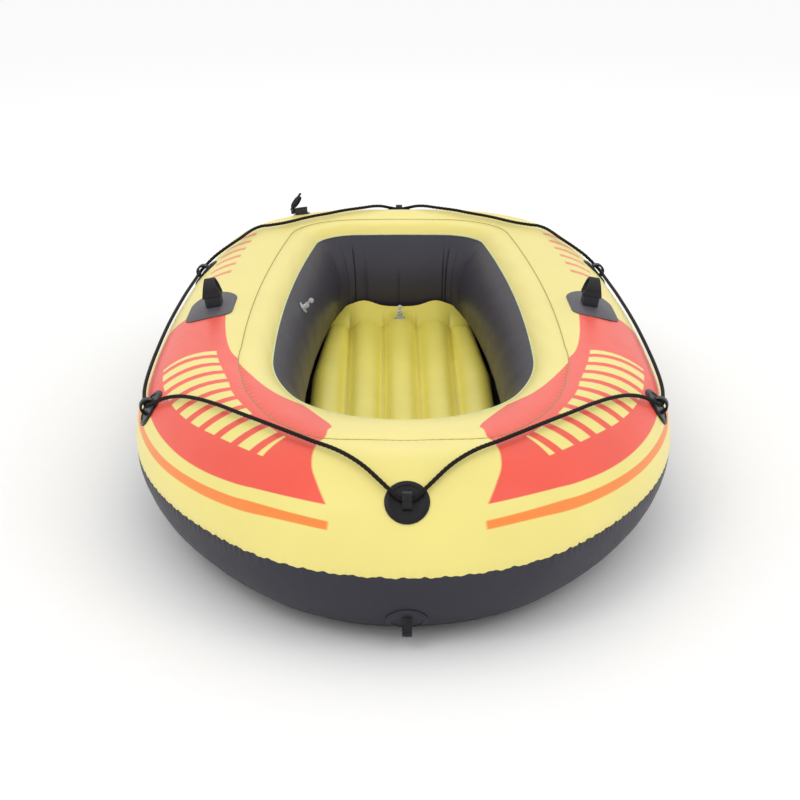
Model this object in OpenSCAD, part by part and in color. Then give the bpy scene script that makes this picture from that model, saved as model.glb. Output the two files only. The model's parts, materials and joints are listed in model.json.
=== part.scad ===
// Small one-person inflatable boat: two air chambers, ribbed inflatable floor,
// oarlocks, six rope holders with a grab rope, a tow ring and three valves.
// +Z is up, the bow points to -Y, the origin is under the middle on the ground.

/* [Hull] */
// Overall width across the outer chamber
hull_w = 980; // [960:5:1000]
// Overall length, bow to stern
hull_l = 1850; // [1820:5:1890]
// Diameter of the outer air chamber
tube_d = 294; // [288:1:298]
// Film thickness of every hull sheet
film_t = 2; // [1.6:0.1:2.4]
// Angle of the side weld below the widest point
seam_drop = 4.5; // [0:0.5:10]

/* [Hull outline] */
// Centre-line radius of each stern corner
corner_r = 200; // [190:5:210]
// Centre-line radius of each bow shoulder
shoulder_r = 705; // [700:1:710]
// How much further aft the inner chamber starts at the bow
fore_deck = 100; // [80:5:110]

/* [Inner chamber] */
// How far the crease lies inboard of the outer chamber's middle
crease_in = 47.5; // [46:0.5:49]
// How far the rim lies inboard of the outer chamber's middle
rim_in = 102; // [98:1:106]
// Height of the rim
rim_z = 264; // [260:1:268]
// How far the cockpit wall bulges past a straight line from rim to foot
wall_bulge = 60; // [54:1:61]

/* [Floor mat] */
// Number of lengthwise tubes
mat_tubes = 5; // [5:5]
// Distance between neighbouring tubes
mat_pitch = 75; // [72:0.5:76]
// Length of the middle tube
mat_l = 1080; // [1000:10:1090]
// Radius of an outer tube at its stern end
mat_end_r = 24; // [20:0.5:24.5]

/* [Rope and holders] */
// Diameter of the grab rope
rope_d = 8; // [6:0.5:9]
// Diameter of a rope holder's pad
holder_d = 70; // [60:1:76]
// Width of a holder's strap
strap_w = 15; // [12:1:18]
// Height of a holder's loop above the hull
loop_h = 19; // [18.5:0.5:22]

/* [Oarlocks] */
// Diameter of the hole that takes the oar
oar_hole_d = 28; // [26:0.5:29]
// Diameter of the swivel pin
swivel_d = 10; // [8:0.5:12]
// Height of the socket block above the hull
socket_h = 19; // [18:0.5:22]

/* [Valves] */
// Diameter of the main valve's screw plug
valve_plug_d = 24; // [22:0.5:25]
// Opening angle of the main valve's cap as it rests
cap_open = 50; // [40:1:70]
// Outer diameter of a small valve's stem
stem_d = 10; // [9:0.5:12]

/* [Hidden] */

round_fn = 256;
small_fn = 64;
gap = 0.3;
tube_r = tube_d / 2;

// ---- plan outline: tangent arcs, each with a turn from straight aft ----
stern_turn = 2.5;
corner_turn = 82;
side_turn = 91;
shoulder_turn = 133;
inner_shoulder_turn = 112;
hull_turns = [0, stern_turn, corner_turn, side_turn, shoulder_turn, 180];
inner_turns = [0, stern_turn, corner_turn, side_turn, inner_shoulder_turn, 180];

half_w = hull_w / 2 - tube_r;
line_l = hull_l - tube_d;
stern_a = (half_w - corner_r * (sin(corner_turn) - sin(stern_turn))) / sin(stern_turn);
stern_b = (1 - sin(corner_turn)) / sin(stern_turn);
bow_a = (half_w - shoulder_r * (sin(side_turn) - sin(shoulder_turn))) / sin(shoulder_turn);
bow_b = (1 - sin(side_turn)) / sin(shoulder_turn);
fixed_l = stern_a * (1 - cos(stern_turn))
  + corner_r * (cos(stern_turn) - cos(corner_turn))
  + shoulder_r * (cos(side_turn) - cos(shoulder_turn))
  + bow_a * (1 + cos(shoulder_turn));
side_gain = cos(corner_turn) - cos(side_turn)
  - stern_b * (1 - cos(stern_turn)) - bow_b * (1 + cos(shoulder_turn));
side_r = (line_l - fixed_l) / side_gain;
stern_r = stern_a - stern_b * side_r;
bow_r = bow_a - bow_b * side_r;
hull_radii = [stern_r, corner_r, side_r, shoulder_r, bow_r];

// The inner chamber shares the stern, corners and sides; its bow is blunter.
fore_w = bow_r * sin(shoulder_turn) + shoulder_r * (sin(side_turn) - sin(shoulder_turn));
fore_l = shoulder_r * (cos(side_turn) - cos(shoulder_turn))
  + bow_r * (1 + cos(shoulder_turn)) - fore_deck;
sh_x = sin(side_turn) - sin(inner_shoulder_turn);
sh_y = cos(side_turn) - cos(inner_shoulder_turn);
bow_x = sin(inner_shoulder_turn);
bow_y = 1 + cos(inner_shoulder_turn);
solve = bow_x * sh_y - sh_x * bow_y;
inner_bow_r = (fore_w * sh_y - sh_x * fore_l) / solve;
inner_shoulder_r = (bow_x * fore_l - bow_y * fore_w) / solve;
inner_radii = [stern_r, corner_r, side_r, inner_shoulder_r, inner_bow_r];

function outward(turn) = [sin(turn), cos(turn)];
function arc_centre(radii, turns, k) =
  k == 0 ? [0, hull_l / 2 - tube_r - radii[0]]
         : arc_centre(radii, turns, k - 1) + (radii[k - 1] - radii[k]) * outward(turns[k]);
function arc_of(turns, turn) =
  turn < turns[1] ? 0 : turn < turns[2] ? 1 : turn < turns[3] ? 2 : turn < turns[4] ? 3 : 4;
function half_point(radii, turns, turn, n) =
  let (k = arc_of(turns, turn))
  arc_centre(radii, turns, k) + (radii[k] + n) * outward(turn);
function plan_point(radii, turns, turn, n) =
  turn <= 180 ? half_point(radii, turns, turn, n)
              : let (p = half_point(radii, turns, 360 - turn, n)) [-p[0], p[1]];
function hull_point(turn, phi, off) =
  let (p = plan_point(hull_radii, hull_turns, turn, (tube_r + off) * cos(phi)))
  [p[0], p[1], tube_r + (tube_r + off) * sin(phi)];

// Turns at which the lofted sheets have a section: close on the tight arcs.
half_turns = [for (t = [0 : 1.25 : 1.25]) t,
  for (t = [stern_turn : 5.3 : corner_turn - 1]) t,
  for (t = [corner_turn : 1.5 : side_turn - 1]) t,
  for (t = [side_turn : 3.5 : inner_shoulder_turn - 1]) t,
  for (t = [inner_shoulder_turn : 5.23 : 179]) t, 180];
last_turn = len(half_turns) - 1;
loop_turns = [for (t = half_turns) t, for (i = [last_turn - 1 : -1 : 1]) 360 - half_turns[i]];

// ---- cross-section of the chambers: n outboard, z up ----
crease_z = tube_r + sqrt(tube_r * tube_r - crease_in * crease_in);
crease_phi = 180 - acos(crease_in / tube_r);
foot_turn = 125;
sheet_top = 25;
deck_bulge = 10;
crease_pt = [-crease_in - 0.8, crease_z - 0.4];
rim_pt = [-rim_in, rim_z];
rim_gap = 0.4;
foot_pt = [-88, sheet_top + gap];

// Arc from a to b that bulges by a given amount to the right of the straight line.
function arc_r(a, b, bulge) = (norm(b - a) * norm(b - a) / 4 + bulge * bulge) / (2 * bulge);
function arc_along(a, b) = (b - a) / norm(b - a);
function arc_side(a, b) = [-arc_along(a, b)[1], arc_along(a, b)[0]];
function arc_middle(a, b, bulge) = (a + b) / 2 + arc_side(a, b) * (arc_r(a, b, bulge) - bulge);
function arc_line(a, b, bulge, count, off) =
  let (r = arc_r(a, b, bulge), half = asin(norm(b - a) / 2 / r))
  [for (i = [0 : count]) let (t = -half + 2 * half * i / count)
    arc_middle(a, b, bulge) + (r + off) * (arc_along(a, b) * sin(t) - arc_side(a, b) * cos(t))];
// Outline of a sheet that follows the arc on its outside and is thick inward.
function arc_faces(a, b, bulge, count, thick) =
  let (back = arc_line(a, b, bulge, count, -thick))
  [for (p = arc_line(a, b, bulge, count, 0)) p, for (i = [count : -1 : 0]) back[i]];

function loft_faces(rings, per) = [
  for (i = [0 : rings - 1]) for (j = [0 : per - 1])
    let (i2 = (i + 1) % rings, j2 = (j + 1) % per)
    each [[i * per + j, i2 * per + j, i2 * per + j2], [i * per + j, i2 * per + j2, i * per + j2]]];

// Sheet with one cross-section carried round an outline.
module loft_sheet(section, radii, turns) {
  pts = [for (t = loop_turns) for (p = section)
    let (q = plan_point(radii, turns, t, p[0])) [q[0], q[1], p[1]]];
  polyhedron(pts, loft_faces(len(loop_turns), len(section)), convexity = 6);
}

module tube_arc(k) {
  centre = arc_centre(hull_radii, hull_turns, k);
  sweep_r = hull_radii[k];
  from = hull_turns[k];
  to = hull_turns[k + 1];
  if (k == 0 || k == 4) {
    start = k == 0 ? 90 - to : 90 + from;
    angle = k == 0 ? 2 * to : 2 * (180 - from);
    translate([centre[0], centre[1], tube_r])
      rotate_extrude(angle = angle, start = start, $fn = round_fn)
        translate([sweep_r, 0]) children();
  } else {
    for (m = [0, 1])
      mirror([m, 0, 0])
        translate([centre[0], centre[1], tube_r])
          rotate_extrude(angle = to - from, start = 90 - to, $fn = round_fn)
            translate([sweep_r, 0]) children();
  }
}

module around_hull() {
  for (k = [0 : 4])
    tube_arc(k) children();
}

module wedge(from, to) {
  steps = ceil((to - from) / 45);
  reach = 2 * tube_r;
  polygon([[0, 0], for (i = [0 : steps])
    let (a = from + (to - from) * i / steps) reach * [cos(a), sin(a)]]);
}

module ring_band(from, to) {
  intersection() {
    difference() {
      circle(tube_r, $fn = round_fn);
      circle(tube_r - film_t, $fn = round_fn);
    }
    wedge(from, to);
  }
}

// Short stretch of the outer chamber grown by off, about a given turn.
module tube_stretch(turn, off) {
  side = turn > 180 ? 1 : 0;
  t = turn > 180 ? 360 - turn : turn;
  k = arc_of(hull_turns, t);
  centre = arc_centre(hull_radii, hull_turns, k);
  spread = 57.3 * 130 / (hull_radii[k] + 150);
  mirror([side, 0, 0])
    translate([centre[0], centre[1], tube_r])
      rotate_extrude(angle = 2 * spread, start = 90 - t - spread, $fn = round_fn)
        translate([hull_radii[k], 0]) circle(tube_r + off, $fn = round_fn);
}

// Puts +Z square to the hull surface and +X along the hull's length round the tube.
module on_hull(turn, phi) {
  translate(hull_point(turn, phi, 0))
    rotate([0, 0, -turn])
      rotate([phi - 90, 0, 0])
        children();
}

// ---- hull sheets ----
module outer_top_sheet() {
  color("khaki") around_hull() ring_band(-seam_drop, crease_phi);
}

function ring_line(r, angles) = [for (a = angles) [r * cos(a), tube_r + r * sin(a)]];
base_up = [for (i = [0 : 4]) -foot_turn + (foot_turn - 90) * i / 4,
  for (i = [1 : 9]) -90 + (90 - seam_drop) * i / 9];
base_down = [for (i = [len(base_up) - 1 : -1 : 0]) base_up[i]];
module outer_base_sheet() {
  color("darkslateblue")
    loft_sheet(concat(ring_line(tube_r, base_up), ring_line(tube_r - film_t, base_down)),
      hull_radii, hull_turns);
}

web_top = [-crease_in - 1, crease_z - 2.6];
web_foot = [-86, 31];
web_bulge = 14;
module divider_web() {
  color("dimgray")
    loft_sheet(arc_faces(web_top, web_foot, web_bulge, 5, film_t), hull_radii, hull_turns);
}

// Deck sections run from the crease on the outer outline to the rim on the inner one.
deck_steps = 6;
deck_section = arc_faces(crease_pt, rim_pt, deck_bulge, deck_steps, film_t);
deck_count = len(deck_section);
function deck_share(n) = (-crease_in - n) / (rim_in - crease_in);
module inner_top_sheet() {
  pts = [for (t = loop_turns) for (p = deck_section)
    let (w = deck_share(p[0]),
         a = plan_point(hull_radii, hull_turns, t, p[0]),
         b = plan_point(inner_radii, inner_turns, t, p[0]),
         q = a * (1 - w) + b * w)
    [q[0], q[1], p[1]]];
  color("khaki")
    polyhedron(pts, loft_faces(len(loop_turns), deck_count), convexity = 6);
}

wall_steps = 9;
wall_top = rim_pt - rim_gap * [0.5, 0.87];
wall_section = arc_faces(wall_top, foot_pt, wall_bulge, wall_steps, film_t);
module cockpit_wall() {
  color("darkslateblue") loft_sheet(wall_section, inner_radii, inner_turns);
}

module bottom_sheet() {
  sheet_in = -83;
  color("darkslateblue")
    translate([0, 0, sheet_top - film_t])
      linear_extrude(film_t)
        polygon([for (t = loop_turns) plan_point(hull_radii, hull_turns, t, sheet_in)]);
}

// ---- floor mat ----
mat_r = mat_pitch / 2 - 0.2;
mat_film = 1.6;
mat_base_z = sheet_top + gap;
mat_mid_z = mat_base_z + mat_r;
mat_stern_y = 612;
mat_half = (mat_tubes - 1) / 2;
mat_bow_trim = [0, 12, 120];
mat_stern_trim = [0, 3, 20];
mat_taper_y = 200;
lip_top_z = 118;
lip_half_w = 100;

function mat_from_y(i) = mat_stern_y - mat_l + mat_bow_trim[abs(i)];
function mat_to_y(i) = mat_stern_y - mat_stern_trim[abs(i)];

// Air tube i of the mat; the outermost ones narrow towards the stern.
module mat_shell(i, shrink) {
  from_y = mat_from_y(i) + mat_r;
  if (abs(i) < mat_half) {
    to_y = mat_to_y(i) - mat_r;
    translate([i * mat_pitch, from_y, 0])
      rotate([-90, 0, 0])
        cylinder(h = to_y - from_y, r = mat_r - shrink, $fn = small_fn);
    for (y = [from_y, to_y])
      translate([i * mat_pitch, y, 0])
        sphere(mat_r - shrink, $fn = small_fn);
  } else {
    side = sign(i);
    end_x = mat_half * mat_pitch - mat_r + mat_end_r;
    hull() {
      for (y = [from_y, mat_taper_y])
        translate([i * mat_pitch, y, 0])
          sphere(mat_r - shrink, $fn = 32);
      translate([side * end_x, mat_to_y(i) - mat_end_r, 0])
        sphere(mat_end_r - shrink, $fn = 32);
    }
  }
}

// Flat weld strip that joins a tube to its neighbour towards the middle.
module mat_strip(i, z) {
  side = i == 0 ? 1 : sign(i);
  reach = mat_pitch / 2;
  out = abs(i) < mat_half ? reach : mat_r / 2 - reach;
  translate([i * mat_pitch - (side > 0 ? reach : out), mat_from_y(i), z])
    cube([reach + out, mat_to_y(i) - mat_from_y(i) - mat_end_r, mat_film]);
}

// One half of the mat: up = 1 gives the upper sheet, up = -1 the lower one.
module mat_sheet(up) {
  for (i = [-mat_half : mat_half])
    translate([0, 0, mat_mid_z]) {
      difference() {
        mat_shell(i, 0);
        mat_shell(i, mat_film);
        translate([-hull_w / 2, -hull_l / 2, up > 0 ? -2 * mat_r : 0.1 - gap])
          cube([hull_w, hull_l, 2 * mat_r]);
      }
      difference() {
        mat_strip(i, up > 0 ? 0 : -gap + 0.1 - mat_film);
        mat_shell(i, mat_film);
      }
    }
}

// Weld margin that stands up against the stern wall.
module mat_lip() {
  lip_y = mat_stern_y - mat_stern_trim[1] - mat_film;
  difference() {
    translate([-lip_half_w, lip_y, mat_mid_z])
      cube([2 * lip_half_w, mat_film, lip_top_z - mat_mid_z]);
    for (i = [1 - mat_half : mat_half - 1])
      translate([0, 0, mat_mid_z]) mat_shell(i, mat_film);
  }
}

module floor_mat_top() {
  color("khaki") {
    mat_sheet(1);
    mat_lip();
  }
}

module floor_mat_base() {
  color("khaki") mat_sheet(-1);
}

// ---- small push-in valves ----
stem_bore = stem_d - 4;
stem_base_d = 24;
stem_base_t = 1.6;
stem_h = 12;
stopper_hinge_x = 11;
stopper_pin_d = 2;

// Stem with its base disc and a hinge post beside it; +Z points out of the film.
module small_stem() {
  difference() {
    union() {
      cylinder(h = stem_base_t, d = stem_base_d, $fn = small_fn);
      cylinder(h = stem_h, d = stem_d, $fn = small_fn);
      translate([0, -2, stem_h - 6])
        cube([stopper_hinge_x - 2.6, 4, 2]);
    }
    translate([0, 0, -1])
      cylinder(h = stem_h + 2, d = stem_bore, $fn = small_fn);
  }
  translate([stopper_hinge_x - 2.8, -4, stem_h - 6])
    cube([1, 8, 2]);
  for (y = [-4, 2.4])
    translate([stopper_hinge_x - 2.8, y, stem_h - 6])
      cube([4.2, 1.6, 6]);
  translate([stopper_hinge_x, 4, stem_h - 2])
    rotate([90, 0, 0])
      cylinder(h = 8, d = stopper_pin_d, $fn = small_fn);
}

// Stopper swung open about the hinge post; closed, it fills the stem's bore.
module small_stopper(open) {
  translate([stopper_hinge_x, 0, stem_h - 2])
    rotate([0, open, 0])
      difference() {
        union() {
          rotate([90, 0, 0])
            translate([0, 0, -2])
              cylinder(h = 4, d = stopper_pin_d + 2.4, $fn = small_fn);
          translate([-stopper_hinge_x, -1.6, 2.4])
            cube([stopper_hinge_x, 3.2, 1.6]);
          translate([-1.2, -1.6, 1.2])
            cube([2.2, 3.2, 2.8]);
          translate([-stopper_hinge_x, 0, 2.4])
            cylinder(h = 2, d = stem_d + 1, $fn = small_fn);
          translate([-stopper_hinge_x, 0, -1])
            cylinder(h = 3.6, d = stem_bore - 0.3, $fn = small_fn);
        }
        rotate([90, 0, 0])
          translate([0, 0, -3])
            cylinder(h = 6, d = stopper_pin_d + 0.1, $fn = small_fn);
      }
}

stopper_rest = 120;
floor_valve_y = 562;
floor_valve_z = mat_mid_z + mat_r + gap;
module at_floor_valve() {
  translate([0, floor_valve_y, floor_valve_z]) rotate([0, 0, 90]) children();
}

module floor_valve_stem() {
  color("gainsboro")
    difference() {
      at_floor_valve() translate([0, 0, -3]) {
        translate([0, 0, 3]) small_stem();
        cylinder(h = 3.2, d = stem_base_d, $fn = small_fn);
      }
      translate([0, floor_valve_y - 30, mat_mid_z])
        rotate([-90, 0, 0])
          cylinder(h = 60, r = mat_r + gap, $fn = small_fn);
    }
}

module floor_valve_plug() {
  color("gainsboro") at_floor_valve() small_stopper(stopper_rest);
}

wall_valve_turn = 273.7;
wall_r = arc_r(wall_top, foot_pt, wall_bulge);
wall_centre = arc_middle(wall_top, foot_pt, wall_bulge);
wall_valve_tilt = 34;
module at_wall_valve() {
  reach = wall_r + gap;
  n = wall_centre[0] - reach * cos(wall_valve_tilt);
  p = plan_point(inner_radii, inner_turns, wall_valve_turn, n);
  translate([p[0], p[1], wall_centre[1] + reach * sin(wall_valve_tilt)])
    rotate([0, 0, -wall_valve_turn])
      rotate([90 - wall_valve_tilt, 0, 0])
        children();
}

module chamber_valve_stem() {
  color("gainsboro") at_wall_valve() small_stem();
}

module chamber_valve_plug() {
  color("gainsboro") at_wall_valve() small_stopper(stopper_rest);
}

// ---- rope holders and tow ring ----
pad_t = 2.2;
pad_lip = 1.4;
lip_w = 4;
strap_t = 4;

module holder(turn, phi, pad_d, loop_top, loop_r) {
  arch_z = loop_top - loop_r;
  difference() {
    union() {
      intersection() {
        on_hull(turn, phi) translate([0, 0, -25])
          cylinder(h = 50, d = pad_d, $fn = small_fn);
        tube_stretch(turn, pad_t);
      }
      intersection() {
        on_hull(turn, phi) difference() {
          translate([0, 0, -25]) cylinder(h = 50, d = pad_d - 8, $fn = small_fn);
          translate([0, 0, -26]) cylinder(h = 52, d = pad_d - 8 - 2 * lip_w, $fn = small_fn);
        }
        tube_stretch(turn, pad_t + pad_lip);
      }
      on_hull(turn, phi)
        rotate([90, 0, 90])
          translate([0, 0, -strap_w / 2])
            linear_extrude(strap_w)
              difference() {
                union() {
                  translate([0, arch_z]) circle(loop_r, $fn = small_fn);
                  translate([-loop_r, -6]) square([2 * loop_r, arch_z + 6]);
                }
                translate([0, arch_z]) circle(loop_r - strap_t, $fn = small_fn);
                translate([strap_t - loop_r, pad_t]) square([2 * (loop_r - strap_t), arch_z - pad_t]);
              }
    }
    tube_stretch(turn, gap);
  }
}

bow_phi = 42;
fore_turn = 102;
fore_phi = 33;
aft_turn = 84;
aft_phi = 41;
stern_phi = 58;
loop_r = 15;

module holder_bow() {
  color("black") holder(180, bow_phi, holder_d, loop_h, loop_r);
}

module holder_fore_port() {
  color("black") holder(360 - fore_turn, fore_phi, holder_d, loop_h, loop_r);
}

module holder_fore_starboard() {
  color("black") holder(fore_turn, fore_phi, holder_d, loop_h, loop_r);
}

module holder_aft_port() {
  color("black") holder(360 - aft_turn, aft_phi, holder_d, loop_h, loop_r);
}

module holder_aft_starboard() {
  color("black") holder(aft_turn, aft_phi, holder_d, loop_h, loop_r);
}

module holder_stern() {
  color("black") holder(0, stern_phi, holder_d, loop_h, loop_r);
}

tow_phi = -43;
tow_loop_h = 27;
module tow_ring() {
  color("darkslateblue") holder(180, tow_phi, 66, tow_loop_h, 17);
}

// ---- oarlocks ----
oar_turn = 88.3;
oar_phi = 80;
patch_t = 1.8;
patch_w = 94;
patch_l = 178;
patch_phi = 77;
socket_w = 31;
socket_l = 42;
pin_depth = 14;
pin_clear = 0.05;
head_w = 36;
head_top_w = 19;
head_wall = 4;
collar_t = 4;
head_r = oar_hole_d / 2 + head_wall;
head_z = socket_h + gap + collar_t + oar_hole_d / 2;

module oarlock_patch(turn) {
  difference() {
    intersection() {
      tube_stretch(turn, patch_t);
      on_hull(turn, patch_phi)
        translate([0, 0, -40])
          linear_extrude(60) {
            square([patch_l - patch_w, patch_w], center = true);
            for (x = [-1, 1])
              translate([x * (patch_l - patch_w) / 2, 0])
                circle(d = patch_w, $fn = small_fn);
          }
    }
    tube_stretch(turn, gap);
  }
}

module oarlock_socket(turn) {
  difference() {
    on_hull(turn, oar_phi)
      difference() {
        translate([0, 0, -12])
          linear_extrude(socket_h + 12) {
            square([socket_l - 16, socket_w], center = true);
            square([socket_l, socket_w - 16], center = true);
            for (x = [-1, 1], y = [-1, 1])
              translate([x * (socket_l / 2 - 8), y * (socket_w / 2 - 8)])
                circle(8, $fn = small_fn);
          }
        translate([0, 0, socket_h - pin_depth - 1])
          cylinder(h = pin_depth + 2, d = swivel_d + 2 * pin_clear, $fn = small_fn);
      }
    tube_stretch(turn, patch_t + gap);
  }
}

// Swivelling head: a pin, a collar and a ring whose hole runs across the boat.
module oarlock_ring(turn) {
  base_z = socket_h + gap;
  on_hull(turn, oar_phi) {
    translate([0, 0, socket_h - pin_depth])
      cylinder(h = pin_depth + gap + 1, d = swivel_d, $fn = small_fn);
    intersection() {
      rotate([90, 0, 0])
        translate([0, 0, -head_w])
          linear_extrude(2 * head_w)
            difference() {
              union() {
                translate([-head_r + 1, base_z]) square([2 * head_r - 2, head_z - base_z]);
                translate([0, head_z]) circle(head_r, $fn = small_fn);
              }
              translate([0, head_z]) circle(d = oar_hole_d, $fn = small_fn);
            }
      rotate([90, 0, 90])
        translate([0, 0, -head_r - 1])
          linear_extrude(2 * head_r + 2)
            polygon([[-head_w / 2, base_z], [head_w / 2, base_z], [head_w / 2, base_z + 5],
              [head_top_w / 2, head_z + head_r], [-head_top_w / 2, head_z + head_r],
              [-head_w / 2, base_z + 5]]);
    }
  }
}

module oarlock_patch_port() {
  color("dimgray") oarlock_patch(360 - oar_turn);
}

module oarlock_patch_starboard() {
  color("dimgray") oarlock_patch(oar_turn);
}

module oarlock_socket_port() {
  color("black") oarlock_socket(360 - oar_turn);
}

module oarlock_socket_starboard() {
  color("black") oarlock_socket(oar_turn);
}

module oarlock_ring_port() {
  color("black") oarlock_ring(360 - oar_turn);
}

module oarlock_ring_starboard() {
  color("black") oarlock_ring(oar_turn);
}

// ---- grab rope: turn round the hull and angle up the tube, chosen by hand ----
rope_clear = 8.4;
rope_in_loop = 9.2;
rope_half = [[0, 58], [0.5, 63], [1, 72], [1.5, 81], [2, 88], [12, 96], [24, 100], [36, 101], [48, 101],
  [60, 100], [70, 97], [76, 93], [80, 88], [81.4, 82], [82.2, 76], [82.9, 69], [83.3, 61],
  [83.5, 53], [83.65, 47], [83.83, 42.5], [84, 41], [84.6, 40], [86, 39], [88, 38], [90, 37], [92.5, 36],
  [96.5, 34], [99.5, 33], [102, 33], [103, 34.5],
  [104.5, 41], [106.4, 49], [109, 57], [112.5, 64],
  [117, 70], [122, 74], [127.5, 77], [133, 78], [143, 77], [153, 74.5], [160, 70],
  [166.5, 63], [172, 54], [176, 46.5], [178, 43], [180, 42]];
rope_last = len(rope_half) - 1;
rope_loop = [for (p = rope_half) p, for (i = [rope_last - 1 : -1 : 1])
  [360 - rope_half[i][0], rope_half[i][1]]];
holder_turns = [0, 84, 102, 180];
function in_loop(turn) = len([for (h = holder_turns) if (turn == h || turn == 360 - h) 1]) > 0;
rope_pts = [for (p = rope_loop) hull_point(p[0], p[1], in_loop(p[0]) ? rope_in_loop : rope_clear)];
rope_rings = len(rope_pts);
rope_sides = 8;

function unit(v) = v / norm(v);
module grab_rope() {
  pts = [for (i = [0 : rope_rings - 1])
    let (prev = rope_pts[(i + rope_rings - 1) % rope_rings],
         next = rope_pts[(i + 1) % rope_rings],
         along = unit(next - prev),
         across = unit(cross(along, [0, 0, 1])),
         up = cross(across, along))
    for (j = [0 : rope_sides - 1])
      let (a = 360 * j / rope_sides)
      rope_pts[i] + rope_d / 2 * (across * cos(a) + up * sin(a))];
  color("black") polyhedron(pts, loft_faces(rope_rings, rope_sides), convexity = 10);
}

// ---- main valve ----
valve_turn = 325;
valve_phi = 76;
flange_d = 38;
boss_d = valve_plug_d + 5;
boss_h = 9;
plug_clear = 0.1;
plug_head_d = boss_d + 1;
plug_head_h = 5;
gasket_t = 1;
plug_hole_d = 13;
cap_d = plug_head_d + 3;
cap_t = 2.4;
hinge_x = cap_d / 2 + 3;
hinge_d = 2.4;
hinge_z = boss_h + 3;
seat_z = boss_h + gasket_t + 2 * gap;

module on_valve() {
  on_hull(valve_turn, valve_phi) rotate([0, 0, 125]) children();
}

module valve_flange() {
  color("black")
    difference() {
      union() {
        intersection() {
          on_hull(valve_turn, valve_phi) translate([0, 0, -15])
            cylinder(h = 30, d = flange_d, $fn = small_fn);
          tube_stretch(valve_turn, pad_t);
        }
        on_valve() translate([0, 0, -4]) difference() {
          cylinder(h = boss_h + 4, d = boss_d, $fn = small_fn);
          translate([0, 0, -4]) cylinder(h = boss_h + 12, d = valve_plug_d + 2 * plug_clear, $fn = small_fn);
        }
        on_valve() for (y = [-8, 4])
          translate([0, y, 3])
            difference() {
              union() {
                translate([boss_d / 2 - 1, 0, 0]) cube([hinge_x - boss_d / 2 + 1, 4, 3]);
                translate([hinge_x - 3, 0, 0]) cube([6, 4, hinge_z - 3]);
                translate([hinge_x, 4, hinge_z - 3]) rotate([90, 0, 0])
                  cylinder(h = 4, d = 6, $fn = small_fn);
              }
              translate([hinge_x, 5, hinge_z - 3]) rotate([90, 0, 0])
                cylinder(h = 6, d = hinge_d, $fn = small_fn);
            }
      }
      tube_stretch(valve_turn, gap);
      on_valve() translate([0, 0, -9]) cylinder(h = 12, d = valve_plug_d + 2 * plug_clear, $fn = small_fn);
    }
}

module valve_gasket() {
  color("gray") on_valve() translate([0, 0, boss_h + gap])
    difference() {
      cylinder(h = gasket_t, d = boss_d - 0.4, $fn = small_fn);
      translate([0, 0, -1]) cylinder(h = gasket_t + 2, d = valve_plug_d + 0.6, $fn = small_fn);
    }
}

module valve_plug() {
  color("black") on_valve()
    difference() {
      union() {
        translate([0, 0, 1.5]) cylinder(h = seat_z - 1, d = valve_plug_d, $fn = small_fn);
        translate([0, 0, seat_z]) cylinder(h = plug_head_h, d = plug_head_d, $fn = small_fn);
      }
      translate([0, 0, -1]) cylinder(h = 30, d = plug_hole_d, $fn = small_fn);
      translate([0, 0, 1]) cylinder(h = 2.5, d = valve_plug_d - 5, $fn = small_fn);
    }
}

module valve_diaphragm() {
  color("lightgray") on_valve() translate([0, 0, 1.6])
    cylinder(h = 1.2, d = valve_plug_d - 5.6, $fn = small_fn);
}

// Cap with a skirt and a pull tab; closed, it sits over the plug's head.
module valve_cap() {
  color("black") on_valve()
    translate([hinge_x, 0, hinge_z])
      rotate([0, cap_open, 0])
        difference() {
          union() {
            rotate([90, 0, 0]) translate([0, 0, -3.7]) cylinder(h = 7.4, d = 6, $fn = small_fn);
            translate([-hinge_x, 0, seat_z + plug_head_h - hinge_z - 3])
              difference() {
                cylinder(h = 3 + gap + cap_t, d = cap_d, $fn = small_fn);
                translate([0, 0, -1]) cylinder(h = 4 + gap, d = cap_d - 2.2, $fn = small_fn);
              }
            translate([-6, -3.7, seat_z + plug_head_h - hinge_z + gap])
              cube([7, 7.4, cap_t]);
            translate([-2.6, -3.7, 0])
              cube([5.6, 7.4, seat_z + plug_head_h - hinge_z + gap + cap_t]);
            translate([-hinge_x - cap_d / 2 - 7, -5, seat_z + plug_head_h - hinge_z + gap])
              cube([10, 10, cap_t]);
          }
          rotate([90, 0, 0]) translate([0, 0, -5])
            cylinder(h = 10, d = hinge_d + 0.1, $fn = small_fn);
        }
}

module valve_hinge_pin() {
  color("gray") on_valve()
    translate([hinge_x, 8, hinge_z])
      rotate([90, 0, 0])
        cylinder(h = 16, d = hinge_d, $fn = small_fn);
}

outer_top_sheet();
outer_base_sheet();
inner_top_sheet();
cockpit_wall();
divider_web();
bottom_sheet();
floor_mat_top();
floor_mat_base();
floor_valve_stem();
floor_valve_plug();
holder_bow();
holder_fore_port();
holder_fore_starboard();
holder_aft_port();
holder_aft_starboard();
holder_stern();
tow_ring();
oarlock_patch_port();
oarlock_patch_starboard();
oarlock_socket_port();
oarlock_socket_starboard();
oarlock_ring_port();
oarlock_ring_starboard();
grab_rope();
valve_flange();
valve_gasket();
valve_plug();
valve_diaphragm();
valve_cap();
valve_hinge_pin();
chamber_valve_stem();
chamber_valve_plug();
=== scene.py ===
"""Looks of a small inflatable boat: welded film skins, ribbed floor mat, grab rope, fittings and stage."""
import json
from math import acos, asin, ceil, cos, degrees, pi, radians, sin, sqrt

import bmesh
import bpy
import numpy as np
from mathutils import Matrix, Vector

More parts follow.
